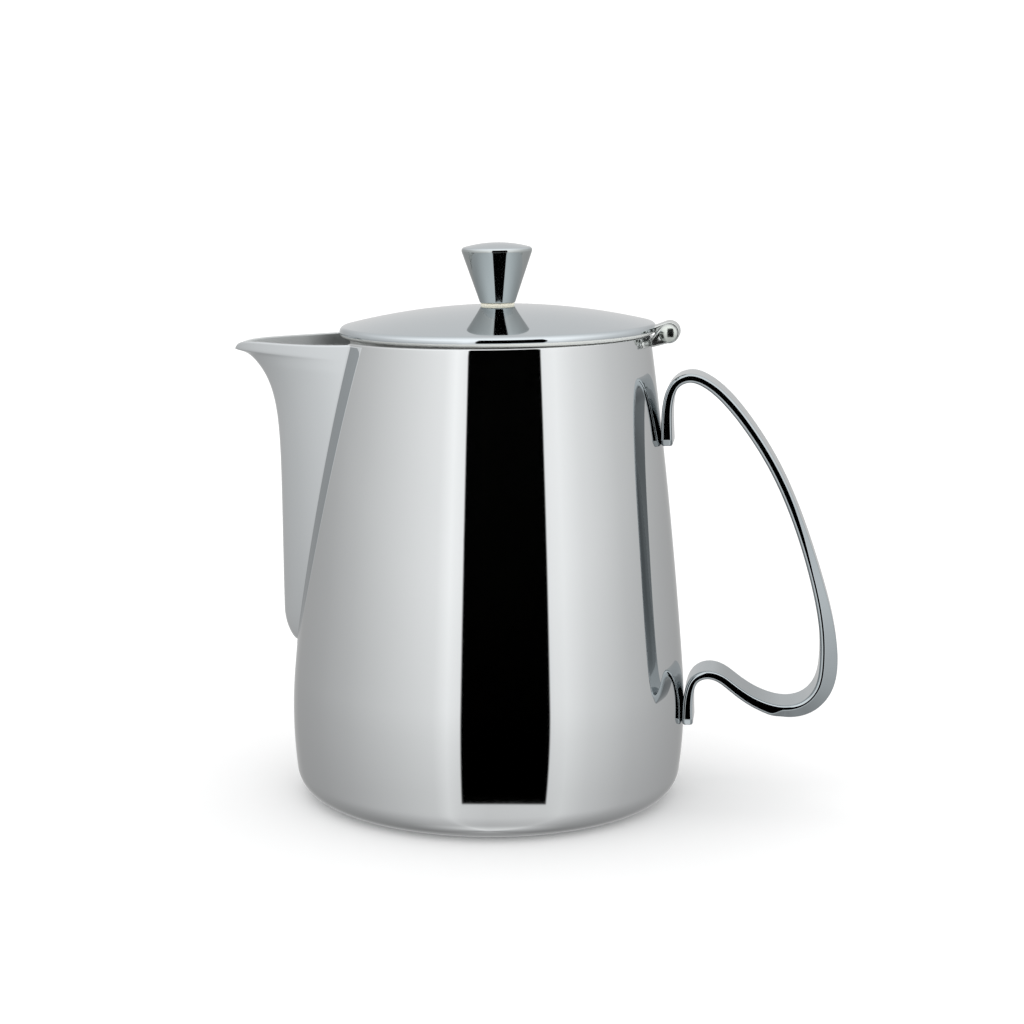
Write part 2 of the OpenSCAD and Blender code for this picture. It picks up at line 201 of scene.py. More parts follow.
def rounded(corners, steps=6, hold=0.08):
    """A closed section from (x, y, radius) corners, with a point close to each end of every flat."""
    out = []
    count = len(corners)
    for k in range(count):
        a, b, c = (np.array(corners[(k + m) % count][:2], float) for m in (-1, 0, 1))
        radius = corners[k][2]
        u, v = (a - b) / np.linalg.norm(a - b), (c - b) / np.linalg.norm(c - b)
        half = math.acos(np.clip(np.dot(u, v), -1, 1)) / 2
        cut = radius / math.tan(half)
        centre = b + (u + v) / np.linalg.norm(u + v) * radius / math.sin(half)
        start, end = b + u * cut - centre, b + v * cut - centre
        a0, turn = math.atan2(start[1], start[0]), math.pi - 2 * half
        spin = 1 if start[0] * end[1] - start[1] * end[0] > 0 else -1
        angles = [a0 + spin * turn * m / steps for m in range(steps + 1)]
        out.append(tuple(b + u * (cut + hold)))
        out += [tuple(centre + radius * np.array([math.cos(a), math.sin(a)])) for a in angles]
        out.append(tuple(b + v * (cut + hold)))
    return out


def smooth_step(u):
    c = np.clip(u, 0, 1)
    return c * c * (3 - 2 * c)


# ---------------------------------------------------------------- materials
# Steel: the scale of its tint noise and of its smears, and the share by which these change the roughness
TINT_SCALE = 60.0
SMEAR_SCALE, SMEAR_DETAIL, SMEAR_SHARE = 900.0, 4.0, 0.3
# Plastic: the same for its grain
GRAIN_TINT_SCALE, GRAIN_SCALE, GRAIN_SHARE = 800.0, 2000.0, 0.2
# How metallic a satin finish still is
SATIN_METAL = 0.1


def node_tree(name):
    material = bpy.data.materials.new(name)
    material.use_nodes = True
    nodes, links = material.node_tree.nodes, material.node_tree.links
    nodes.clear()
    return material, nodes, links


def noise(nodes, links, coord, scale, detail=2.0):
    texture = nodes.new("ShaderNodeTexNoise")
    texture.inputs["Scale"].default_value = scale
    texture.inputs["Detail"].default_value = detail
    links.new(coord.outputs["Object"], texture.inputs["Vector"])
    return texture.outputs["Fac"]


def ranged(nodes, links, value, low, high):
    node = nodes.new("ShaderNodeMapRange")
    node.inputs["To Min"].default_value = low
    node.inputs["To Max"].default_value = high
    links.new(value, node.inputs["Value"])
    return node.outputs["Result"]


def drifting(nodes, links, shader, dark, light, tint_noise, rough, rough_noise, share):
    """Base colour that drifts between two close tints, and roughness that drifts round a mean."""
    tint = nodes.new("ShaderNodeMix")
    tint.data_type = "RGBA"
    tint.inputs["A"].default_value = (*dark, 1)
    tint.inputs["B"].default_value = (*light, 1)
    links.new(tint_noise, tint.inputs["Factor"])
    links.new(tint.outputs["Result"], shader.inputs["Base Color"])
    links.new(ranged(nodes, links, rough_noise, rough * (1 - share), rough * (1 + share)),
              shader.inputs["Roughness"])
    out = nodes.new("ShaderNodeOutputMaterial")
    links.new(shader.outputs["BSDF"], out.inputs["Surface"])


def steel(name, dark, light, rough, wave=6e-6, wave_scale=45.0, satin=None):
    """Polished steel: a faint tint change, a little roughness change and a slow waviness from polishing.
    Between the two x positions in satin, in metres, it turns to a pale satin finish."""
    material, nodes, links = node_tree(name)
    coord = nodes.new("ShaderNodeTexCoord")
    shader = nodes.new("ShaderNodeBsdfPrincipled")
    shader.inputs["Metallic"].default_value = 1.0
    if satin:
        place = nodes.new("ShaderNodeSeparateXYZ")
        links.new(coord.outputs["Object"], place.inputs["Vector"])
        bare = nodes.new("ShaderNodeMapRange")
        bare.inputs["From Min"].default_value, bare.inputs["From Max"].default_value = satin
        bare.inputs["To Min"].default_value = 1.0
        bare.inputs["To Max"].default_value = SATIN_METAL
        links.new(place.outputs["X"], bare.inputs["Value"])
        links.new(bare.outputs["Result"], shader.inputs["Metallic"])
    drifting(nodes, links, shader, dark, light, noise(nodes, links, coord, TINT_SCALE), rough,
             noise(nodes, links, coord, SMEAR_SCALE, SMEAR_DETAIL), SMEAR_SHARE)
    bump = nodes.new("ShaderNodeBump")
    bump.inputs["Strength"].default_value = 1.0
    bump.inputs["Distance"].default_value = 1.0
    waves = noise(nodes, links, coord, wave_scale, 1.0)
    links.new(ranged(nodes, links, waves, 0, wave), bump.inputs["Height"])
    links.new(bump.outputs["Normal"], shader.inputs["Normal"])
    return material


def plastic(name, dark, light, rough):
    material, nodes, links = node_tree(name)
    coord = nodes.new("ShaderNodeTexCoord")
    shader = nodes.new("ShaderNodeBsdfPrincipled")
    drifting(nodes, links, shader, dark, light, noise(nodes, links, coord, GRAIN_TINT_SCALE), rough,
             noise(nodes, links, coord, GRAIN_SCALE), GRAIN_SHARE)
    return material


body_steel = steel("body_steel", (0.565, 0.580, 0.585), (0.580, 0.592, 0.598), 0.035)
spout_steel = steel("spout_steel", (0.695, 0.725, 0.740), (0.715, 0.740, 0.755), 0.05)
# Darker steel for the strip beside the seam: painted shade where body and spout reflect each other, about the
# body's colour times its share
seam_shade_steel = steel("seam_shade_steel", (0.350, 0.380, 0.395), (0.370, 0.400, 0.415), 0.10)
inner_steel = steel("inner_steel", (0.50, 0.51, 0.50), (0.56, 0.57, 0.56), 0.45)
lid_steel = steel("lid_steel", (0.535, 0.575, 0.600), (0.550, 0.590, 0.615), 0.05)
handle_steel = steel("handle_steel", (0.405, 0.445, 0.465), (0.425, 0.465, 0.485), 0.06, wave=2e-6)
# Darker steel for the knob's sides: painted shade, as its top takes the lid's steel
knob_steel = steel("knob_steel", (0.425, 0.455, 0.455), (0.445, 0.470, 0.470), 0.035, wave=1e-6)
hinge_steel = steel("hinge_steel", (0.56, 0.58, 0.57), (0.62, 0.64, 0.63), 0.22, wave=0.0)
pin_steel = steel("pin_steel", (0.50, 0.53, 0.50), (0.54, 0.57, 0.54), 0.17, wave=0.0)
screw_steel = steel("screw_steel", (0.40, 0.41, 0.42), (0.50, 0.51, 0.52), 0.25, wave=1e-6, wave_scale=300.0)
# The mouth is polished near the body and satin towards the lip; the hem lies far past both places and is
# satin all over
mouth_steel = steel("mouth_steel", (0.60, 0.62, 0.62), (0.64, 0.66, 0.66), 0.45, satin=(-0.049, -0.056))
hem_steel = steel("hem_steel", (0.66, 0.68, 0.66), (0.70, 0.72, 0.70), 0.3, satin=(-2, -1))
ring_ivory = plastic("ring_ivory", (0.90, 0.86, 0.70), (0.96, 0.93, 0.80), 0.45)


# ---------------------------------------------------------------- body shell with its pouring window
SEGMENTS = 288
CORNER_STEPS, CORNER_STEPS_IN = 20, 12
BELLY_STEPS = 24
TAPER_ROWS, WINDOW_ROWS = 30, 33
# The flat base ends this far inside the bottom corner's centre
BASE_INSET = 0.5
# Half widths of the window at its sill and at the rim; its lower end is a half circle under WINDOW_Z
WINDOW_W = 16.5
WINDOW_TOP_W = 27.0
WINDOW_Z = 80.0
# Columns from the window's middle to its side
WINDOW_COLS = 18
# Rows start to sag towards the sill at this height
SAG_START = 40.0
# Radius under which the columns no longer spread, so that the base stays even
SPREAD_R = 40.0


def shell_outline():
    """Closed outline of the wall with the rows that bound the window: sill and top, outside and inside."""
    top_z = BODY_H - WALL_T / 2
    heights = np.concatenate([np.linspace(belly_top, WINDOW_Z, TAPER_ROWS)[1:],
                              np.linspace(WINDOW_Z, top_z, WINDOW_ROWS)[1:]])
    base_r = corner_cx - BASE_INSET
    outer = [(0, 0), (corner_cx / 2, 0), (base_r, 0)]
    outer += arc(corner_cx, CORNER_R, CORNER_R, -90, -HEEL_LEAN, CORNER_STEPS)
    outer += arc(belly_cx, belly_cz, BELLY_R, -HEEL_LEAN, BELLY_LEAN, BELLY_STEPS)[1:]
    outer += [(float(wall_r(z)), z) for z in heights]
    inner = [(float(wall_r(z, WALL_T)), z) for z in heights[::-1]]
    inner += arc(belly_cx, belly_cz, BELLY_R - WALL_T, BELLY_LEAN, -HEEL_LEAN, BELLY_STEPS)
    inner += arc(corner_cx, CORNER_R, CORNER_R - WALL_T, -HEEL_LEAN, -90, CORNER_STEPS_IN)[1:]
    inner += [(base_r, WALL_T), (0, WALL_T)]
    edge_in, edge_out = np.array(inner[0]), np.array(outer[-1])
    middle, half = (edge_in + edge_out) / 2, (edge_out - edge_in) / 2
    up = np.array([0, WALL_T / 2])
    cap = [tuple(middle + half * cos_d(a) + up * sin_d(a)) for a in CAP_ANGLES]
    sill_out = next(i for i, p in enumerate(outer) if abs(p[1] - WINDOW_Z) < TINY)
    top_out = len(outer) - 1
    top_in = len(outer) + len(cap)
    sill_in = top_in + top_out - sill_out
    return outer + cap + inner, sill_out, top_out, top_in, sill_in


def shell_row(r, z, base, outside, above_sill):
    """One row of points. base holds the columns' even azimuths from -X; they bend so that one column runs up
    each side of the window. Above the sill the wall stretches so that the rim ends up slanted."""
    edge = WINDOW_COLS * 360 / SEGMENTS
    within = np.abs(base) <= edge
    climb = min(max((z - WINDOW_Z) / (BODY_H - WINDOW_Z), 0), 1) if above_sill else 0
    half_w = WINDOW_W + (WINDOW_TOP_W - WINDOW_W) * climb
    side = math.degrees(math.asin(half_w / max(r, SPREAD_R)))
    beyond = side + (np.abs(base) - edge) * (180 - side) / (180 - edge)
    turned = np.radians(np.where(within, base * side / edge, np.sign(base) * beyond))
    zz = np.full(SEGMENTS, z)
    rr = np.full(SEGMENTS, r)
    if z > WINDOW_Z + TINY:
        zz = z - r * np.cos(turned) * tan_rise * (z - WINDOW_Z) / (BODY_H - WINDOW_Z)
        rr = r + wall_r(zz) - wall_r(z)
    elif z > SAG_START:
        across = r * np.sin(turned)
        depth = np.sqrt(np.maximum(WINDOW_W ** 2 - across ** 2, 0)) * within
        zz = z - depth * (z - SAG_START) / (WINDOW_Z - SAG_START)
        rr = wall_r(zz, 0.0 if outside else WALL_T)
    return np.stack([-rr * np.cos(turned), rr * np.sin(turned), zz], -1)


def body_shell():
    outline, sill_out, top_out, top_in, sill_in = shell_outline()
    base = (np.arange(SEGMENTS) - SEGMENTS // 2) * 360 / SEGMENTS
    points = np.array([shell_row(r, z, base, i <= top_out, i < sill_in) for i, (r, z) in enumerate(outline)])
    j0, j1 = SEGMENTS // 2 - WINDOW_COLS, SEGMENTS // 2 + WINDOW_COLS
    cols = SEGMENTS
    faces = grid_faces(len(outline), cols, wrap_cols=True,
                       skip=lambda i, j: sill_out <= i < sill_in and j0 <= j < j1)
    # The window's edge: the sill, then both sides with their rounded tops
    for j in range(j0, j1):
        a, b = sill_out * cols + j, sill_in * cols + j
        faces.append((a, a + 1, b + 1, b))
    for j in (j0, j1):
        for k in range(top_out - sill_out):
            a, b = sill_out + k, sill_in - k
            faces.append((a * cols + j, (a + 1) * cols + j, (b - 1) * cols + j, b * cols + j))
        faces.append(tuple(i * cols + j for i in range(top_out, top_in + 1)))
    finish_mesh("steel_body", points.reshape(-1, 3), faces, "pot", body_steel, ["body_shell"])


# ---------------------------------------------------------------- spout with its weld strip
SPOUT_T = 0.9
# Height of the spout's foot, and of the point above it where the foot's curve ends
SPOUT_Z = 42.0
FOOT_H = 9.0
# The foot's curve starts this far below SPOUT_Z, and below that the skin falls back into the body
FOOT_SINK = 0.2
FOOT_FALL = 2.0
# Half width at the rim, from which the seam narrows down to the foot
SPOUT_W = 28.4
SEAM_POWER = 0.3
SEAM_START, SEAM_MIN = 0.4, 0.02
# The front: how far it stands out, how it leans, and the flare and the point of the lip
SPOUT_FRONT = 58.5
FRONT_LEAN = 0.011
LIP_FLARE, FLARE_H, FLARE_END = 10.1, 7.6, 0.03
LIP_POINT, POINT_H, POINT_W = 2.6, 0.5, 0.12
LIP_DROP = 5.4
# The upper edge: a step below the rim, and a shallow dip between rim and lip
EDGE_STEP = 0.2
EDGE_DIP = 1.4
EDGE_POWER = 4
# Reach and direction of the Bezier curve's inner points
NOSE_FULL, NOSE_PINCH, PINCH_H = 0.3, 0.1, 8.0
SIDE_LEAN, SIDE_TURN, SIDE_Z, SIDE_REACH = 27.0, 0.33, 120.0, 0.42
lip_z = BODY_H - LIP_DROP
foot_z = SPOUT_Z + FOOT_H
edge_top = BODY_H - EDGE_STEP - math.sqrt(wall_r(BODY_H) ** 2 - SPOUT_W ** 2) * tan_rise

# The weld strip: a band of constant width ground along the body beside the seam. Its darker steel is painted
# shade, standing in for the body and spout reflecting each other. It stands out by SEAM_LIFT with slopes
# SEAM_STEP wide, starts SEAM_BELOW under the foot, and ends SEAM_TOP under the edge in a round corner
SEAM_W = 5.3
SEAM_LIFT, SEAM_STEP = 0.03, 0.4
SEAM_BELOW, SEAM_TOP, SEAM_ROUND = 1.0, 0.2, 2.6
# Beyond the strip the skin dives this far under the body's surface; its lining lies this far inside it
SKIN_SINK, EDGE_SINK = 0.05, 0.02
LINING_SINK = 0.45

# Columns and rows of the half spout, a little denser towards the nose, the foot and the lip
SIDE_COLS, SIDE_CROWD = 90, 1.1
STRIP_COLS, STEP_COLS = 24, 5
FOOT_ROWS, FOOT_START = 30, 1.2
FRONT_ROWS, LIP_ROWS, LIP_SHARE = 120, 31, 0.93
# Step along a section over which its direction is taken
DIR_STEP = 0.004


def edge_z(t):
    """Height of the upper edge, from the nose, t = 0, to the seam, t = 1, and level beyond it."""
    a = np.minimum(np.abs(t), 1)
    dip = EDGE_DIP * (1 - a ** EDGE_POWER)
    return edge_top - dip - (edge_top - lip_z - EDGE_DIP) * np.exp(-a / POINT_W)


def seam_w(z):
    above = np.maximum(z - SPOUT_Z + SEAM_START, SEAM_MIN)
    return SPOUT_W * (above / (BODY_H - SPOUT_Z)) ** SEAM_POWER


def half_skin(z, u):
    """Half of a section at height z: a Bezier curve from the seam, u = 0, to the nose, u = 1."""
    rise = (z - lip_z) / FLARE_H
    flare = np.where(rise < 0, np.exp(np.minimum(rise, 0)),
                     1 + FLARE_END * (1 - np.exp(-np.maximum(rise, 0) / FLARE_END)))
    reach = (foot_z - z) / (FOOT_H + FOOT_SINK)
    foot = np.sqrt(np.maximum(1 - reach ** 2, 0)) - FOOT_FALL * np.maximum(reach - 1, 0)
    swell = np.where(z < foot_z, foot, 1.0)
    root = wall_r(SPOUT_Z)
    lean_out = FRONT_LEAN * np.maximum(z - foot_z, 0)
    front = root + (SPOUT_FRONT - root) * swell + lean_out + LIP_FLARE * flare
    to_lip = np.minimum(z, lip_z) - lip_z
    w = seam_w(z)
    seam = np.stack([-np.sqrt(np.maximum(wall_r(z) ** 2 - w ** 2, 0)), w], -1)
    nose = np.stack([-front - LIP_POINT * np.exp(to_lip / POINT_H), np.zeros_like(z)], -1)
    nose_pull = np.stack([-front, w * (NOSE_FULL - NOSE_PINCH * np.exp(to_lip / PINCH_H))], -1)
    lean = np.radians(SIDE_LEAN + SIDE_TURN * np.maximum(SIDE_Z - z, 0))
    span = SIDE_REACH * np.linalg.norm(nose - seam, axis=-1, keepdims=True)
    side_pull = seam - span * np.stack([np.cos(lean), np.sin(lean)], -1)
    u = u[..., None]
    v = 1 - u
    return v ** 3 * seam + 3 * u * v ** 2 * side_pull + 3 * u ** 2 * v * nose_pull + u ** 3 * nose


def lining(z, u, flat, wall):
    """The inside of the skin: set in square to it, and kept clear of the body's inside."""
    along = half_skin(z, np.maximum(u - DIR_STEP, 0)) - half_skin(z, np.minimum(u + DIR_STEP, 1))
    along[..., 1] = np.where(u + DIR_STEP > 1, np.abs(along[..., 1]), along[..., 1])
    along[..., 0] = np.where(u >= 1, 0, along[..., 0])
    inward = np.stack([along[..., 1], -along[..., 0]], -1)
    inward /= np.linalg.norm(inward, axis=-1, keepdims=True)
    inner = flat + SPOUT_T * inward
    inner[..., 1] = np.maximum(inner[..., 1], 0) * (u < 1)
    radius = np.linalg.norm(inner, axis=-1)
    return inner * (np.maximum(radius, wall - LINING_SINK) / radius)[..., None]


def spout_skins(t_side, over):
    """Outer and inner skin of the half spout, rows going up and columns from the nose over the seam. over is
    the distance beyond the seam, where both skins follow the body's circle."""
    foot_rise = 1 - np.cos(np.linspace(0, math.pi / 2, FOOT_ROWS))
    foot = SPOUT_Z - FOOT_START + (FOOT_H + FOOT_START) * foot_rise
    rise = np.concatenate([np.linspace(0, LIP_SHARE, FRONT_ROWS)[1:],
                           np.linspace(LIP_SHARE, 1, LIP_ROWS)[1:]])
    top = edge_z(t_side)[None, :] - SPOUT_T / 2
    z = np.vstack([np.repeat(foot[:, None], len(t_side), 1), foot_z + (top - foot_z) * rise[:, None]])
    u = np.broadcast_to(1 - t_side, z.shape)
    flat = half_skin(z, u)
    wall = wall_r(z)
    inner = lining(z, u, flat, wall)
    azimuth = np.arctan2(flat[..., 1], -flat[..., 0]) + over / wall
    fade_in = np.clip((z - SPOUT_Z + SEAM_BELOW) / SEAM_STEP, 0, 1)
    level = np.clip((top + SEAM_STEP - z) / SEAM_STEP, 0, 1) * fade_in
    across = 1 - smooth_step((over - SEAM_W) / SEAM_STEP)
    lift = (SEAM_LIFT + SKIN_SINK) * np.minimum(smooth_step(level), across) - SKIN_SINK
    skin_r = np.maximum(np.linalg.norm(flat, axis=-1), wall - EDGE_SINK)
    radius = np.where(over > 0, wall + lift, skin_r)
    outer = np.stack([-radius * np.cos(azimuth), radius * np.sin(azimuth), z], -1)
    deep = wall - LINING_SINK
    beyond_in = np.stack([-deep * np.cos(azimuth), deep * np.sin(azimuth)], -1)
    inner = np.where((over > 0)[..., None], beyond_in, inner)
    return outer, np.concatenate([inner, z[..., None]], -1)


def spout():
    """Columns run from seam to seam and on over the body; rows go up outside, round the edge, down inside."""
    side = np.concatenate([np.linspace(0, 1, SIDE_COLS)[:-1] ** SIDE_CROWD, [1.0]])
    beyond = np.concatenate([np.linspace(0, SEAM_W, STRIP_COLS)[1:],
                             SEAM_W + np.linspace(0, SEAM_STEP, STEP_COLS)[1:]])
    outer, inner = spout_skins(np.concatenate([side, np.ones(len(beyond))]),
                               np.concatenate([np.zeros(len(side)), beyond]))
    up = outer[-1] - outer[-2]
    up /= np.linalg.norm(up, axis=-1, keepdims=True)
    middle, half = (outer[-1] + inner[-1]) / 2, (outer[-1] - inner[-1]) / 2
    thick = np.linalg.norm(half, axis=-1, keepdims=True)
    cap = np.array([middle + half * cos_d(a) + up * thick * sin_d(a) for a in CAP_ANGLES])
    near = np.concatenate([outer, cap, inner[::-1]])
    far = near[:, :0:-1] * np.array([1, -1, 1])
    points = np.concatenate([far, near], 1)
    rows, cols = points.shape[:2]
    faces = grid_faces(rows, cols, wrap_rows=True)
    skin_faces = len(faces)

    # The ends of the strip are closed by joining the rows of both skins in pairs
    crest = len(outer) + len(cap) // 2
    for j, flip in ((0, 1), (cols - 1, -1)):
        for i in range(crest):
            a, b, c, d = i, i + 1, rows - 2 - i, rows - 1 - i
            if b <= c:
                ring = (a, b, c, d) if b < c else (a, b, d)
                faces.append(tuple(k * cols + j for k in ring)[::flip])

    # Faces of the strip take the darker steel, which is painted shade; faces inside take the mouth's steel
    shaded_strip, inside = set(), set()
    strip_top = outer[-1, -1, 2] - SEAM_TOP
    for k, face in enumerate(faces[:skin_faces]):
        row, col = divmod(face[0], cols)
        beside = abs(col + 0.5 - (cols - 1) / 2) - (len(side) - 1)
        if row >= crest:
            inside.add(k)
        elif beside > 0 and row < len(outer) - 1:
            away = float(np.interp(beside, np.arange(len(beyond) + 1), [0, *beyond]))
            turn = max(away - SEAM_W + SEAM_ROUND, 0)
            drop = SEAM_ROUND - math.sqrt(max(SEAM_ROUND ** 2 - turn ** 2, 0))
            if away < SEAM_W and outer[row, -1, 2] < strip_top - drop:
                shaded_strip.add(k)
    finish_mesh("steel_spout", points.reshape(-1, 3), faces, "pot", spout_steel, ["spout"],
                [(seam_shade_steel, shaded_strip), (mouth_steel, inside)])


# ---------------------------------------------------------------- handle strap
STRAP_W = 14.0
# Stations along the strap's middle: x, z and thickness
STRAP_LINE = [
    (49.2, 99.6, 3.2), (49, 106.2, 2.9), (49.4, 112.2, 2.6), (51.4, 116.7, 2.5), (55.1, 118.3, 2.5),
    (59.6, 116.9, 2.5), (65.1, 112.5, 2.6), (71.3, 105.1, 2.6), (78.2, 94.5, 2.6), (85, 80, 2.7),
    (90.5, 64, 3.2), (93.9, 50, 4.2), (94.7, 40, 5), (93.4, 32.8, 5), (89.6, 28.2, 4.6), (84.1, 26.5, 3.9),
    (78.1, 27.5, 3.2), (72.7, 30, 2.8), (68.3, 33.1, 2.6), (64.7, 35.5, 2.5), (61.2, 36.1, 2.4),
    (58.2, 34.6, 2.3), (56.7, 31.1, 2.5), (56.3, 26.6, 2.8), (56.4, 21.6, 3),
]
STRAP_ROWS = 480
# Edges: the cut along the outer ones, its rounding, and the rounding of the inner ones
EDGE_CUT, EDGE_R, INNER_R = 0.55, 0.5, 0.85
# An inner edge's radius is at most this share of half the thickness
INNER_SHARE = 0.75
# Round the outer bend, between these stations, the outer edges are ground to a broad chamfer. It grows over
# the first CUT_RUN of them, ends over the last CUT_END and leaves CUT_FLAT of the side
CUT_FROM, CUT_TO, CUT_RUN, CUT_END = 8.4, 15.8, 1.6, 0.6
CUT_FLAT = 0.45
# Width of a cut against its depth
CUT_SLOPE = 0.95
# At both ends the sides are bevelled back over this length, by this share of it; the flat faces only over
# the last stretch of it
END_BEVEL = 1.7
END_SHARE = 0.7
END_FACE = 0.3
# Rows of points in an end, by their distance from it, and where the even rows start
END_HOLDS = (0, 0.1, 0.5, 1, END_BEVEL - 0.1, END_BEVEL)
END_CLEAR = 2.0


def spline(knots, values, at):
    """Natural cubic spline through the values, so that curvature is continuous."""
    n = len(knots)
    gap = np.diff(knots)
    lhs = np.eye(n)
    rhs = np.zeros((n, values.shape[1]))
    for i in range(1, n - 1):
        lhs[i, i - 1:i + 2] = gap[i - 1], 2 * (gap[i - 1] + gap[i]), gap[i]
        rhs[i] = 6 * ((values[i + 1] - values[i]) / gap[i] - (values[i] - values[i - 1]) / gap[i - 1])
    bend = np.linalg.solve(lhs, rhs)
    i = np.clip(np.searchsorted(knots, at, side="right") - 1, 0, n - 2)
    b = ((at - knots[i]) / gap[i])[:, None]
    a = 1 - b
    pull = (a ** 3 - a) * bend[i] + (b ** 3 - b) * bend[i + 1]
    return a * values[i] + b * values[i + 1] + pull * gap[i][:, None] ** 2 / 6


def strap_section(station, t, to_end):
    """Closed section of the strap, as (across, outwards) pairs, at a station and a distance from the end."""
    grow = smooth_step((station - CUT_FROM) / CUT_RUN) * smooth_step((CUT_TO - station) / CUT_END)
    cut = EDGE_CUT + grow * (t - EDGE_CUT - INNER_R - CUT_FLAT)
    trim = max(END_BEVEL - to_end, 0)
    w = STRAP_W / 2 - trim * END_SHARE
    h = t / 2 - max(trim - END_BEVEL + END_FACE, 0)
    inner_r = min(INNER_R, h * INNER_SHARE)
    far_w = w - cut * CUT_SLOPE
    return rounded([(w, h - cut, EDGE_R), (far_w, h, EDGE_R), (-far_w, h, EDGE_R), (-w, h - cut, EDGE_R),
                    (-w, -h, inner_r), (w, -h, inner_r)])


def handle():
    line = np.array(STRAP_LINE, float)
    knots = np.concatenate([[0], np.cumsum(np.linalg.norm(np.diff(line[:, :2], axis=0), axis=1))])
    length = knots[-1]
    ends = np.array(END_HOLDS)
    at = np.concatenate([ends, np.linspace(END_CLEAR, length - END_CLEAR, STRAP_ROWS), length - ends[::-1]])
    stations = np.interp(at, knots, np.arange(len(line)))
    centre = spline(knots, line, at)
    along = np.gradient(centre[:, :2], at, axis=0)
    along /= np.linalg.norm(along, axis=1, keepdims=True)
    rings = []
    for s, station, (x, z, t), (dx, dz) in zip(at, stations, centre, along):
        section = strap_section(station, t, min(s, length - s))
        rings.append([(x - dz * v, u, z + dx * v) for u, v in section])
    points, faces = tube(rings)
    finish_mesh("steel_handle", points, faces, "pot", handle_steel, ["handle"])


# ---------------------------------------------------------------- lid, knob and what holds them
LID_T = 0.8
LID_EDGE_R = 1.5
LID_GAP = 0.15
# The lid's middle lies this far towards the hinge from the pot's axis
LID_SHIFT = 1.9
DOME_R = 180.0
DOME_STEPS = 40
BEAD_STEPS, BEAD_STEPS_IN = 28, 12
# Of the bead's steps, counted from the dome, the first that belongs to the satin hem
HEM_STEP = 16
# The hem reaches this far inwards, with a point close to the bead that holds it flat
HEM_W, HEM_HOLD = 2.6, 0.1
SCREW_HOLE_R = 2.15
# The hole's edge on the dome: the angle at which the dome's arc starts, and how far the edge lies lower
HOLE_ANGLE, HOLE_DROP = 88.9, 0.01
lid_r = (lid_high[1] - lid_low[1]) / 2
lid_edge_x = lid_r - LID_EDGE_R
lid_edge_z = BODY_H + LID_GAP + LID_EDGE_R
dome_lean = math.degrees(math.asin(lid_edge_x / (DOME_R - LID_EDGE_R)))
dome_cz = lid_edge_z - (DOME_R - LID_EDGE_R) * cos_d(dome_lean)
dome_top = dome_cz + DOME_R


def seat_on_lid(points):
    """Shifts points from the pot's axis to the lid's and tilts them about Y at the rim's height."""
    x, y, z = np.array(points).T
    x, z = x + LID_SHIFT, z - BODY_H
    c, s = cos_d(RIM_RISE), sin_d(RIM_RISE)
    return np.stack([c * x - s * z, y, s * x + c * z + BODY_H], -1)


def lid_shell():
    bead = (lid_edge_x, lid_edge_z)
    hem_x, hem_z = lid_edge_x - HEM_W, lid_edge_z - LID_EDGE_R
    outline = [(SCREW_HOLE_R, dome_top - HOLE_DROP)]
    outline += arc(0, dome_cz, DOME_R, HOLE_ANGLE, 90 - dome_lean, DOME_STEPS)
    hem_from = len(outline) - 1 + HEM_STEP
    outline += arc(*bead, LID_EDGE_R, 90 - dome_lean, -90, BEAD_STEPS)[1:]
    outline += [(lid_edge_x - HEM_HOLD, hem_z), (hem_x, hem_z), (hem_x, hem_z + LID_T)]
    hem_to = len(outline)
    outline += arc(*bead, LID_EDGE_R - LID_T, -90, 90 - dome_lean, BEAD_STEPS_IN)
    outline += arc(0, dome_cz, DOME_R - LID_T, 90 - dome_lean, HOLE_ANGLE, DOME_STEPS)[1:]
    outline += [(SCREW_HOLE_R, dome_top - LID_T - HOLE_DROP)]
    points, faces = revolve(outline, SEGMENTS, closed=True)
    hem = {k for k in range(len(faces)) if hem_from <= k // SEGMENTS < hem_to}
    finish_mesh("steel_lid", seat_on_lid(points), faces, "lid", lid_steel, ["lid_shell"],
                [(hem_steel, hem)])


KNOB_FOOT_R = 4.9
KNOB_TOP_R = 9.7
KNOB_H = 14.3
KNOB_EDGE_R = 1.0
KNOB_DOME_R = 34.0
KNOB_SEGMENTS, KNOB_SIDE_STEPS, KNOB_EDGE_STEPS, KNOB_DOME_STEPS = 192, 19, 24, 20
FOOT_BEVEL = 0.25
# Bore for the screw
BORE_R, BORE_H = 2.0, 8.5
FOOT_RING_H = 0.6
# The ring starts this far under the dome's top, so that no gap shows; its bevel and its hold distance
RING_SINK, RING_BEVEL, RING_HOLD = 0.1, 0.15, 0.06
RING_SEGMENTS = 128


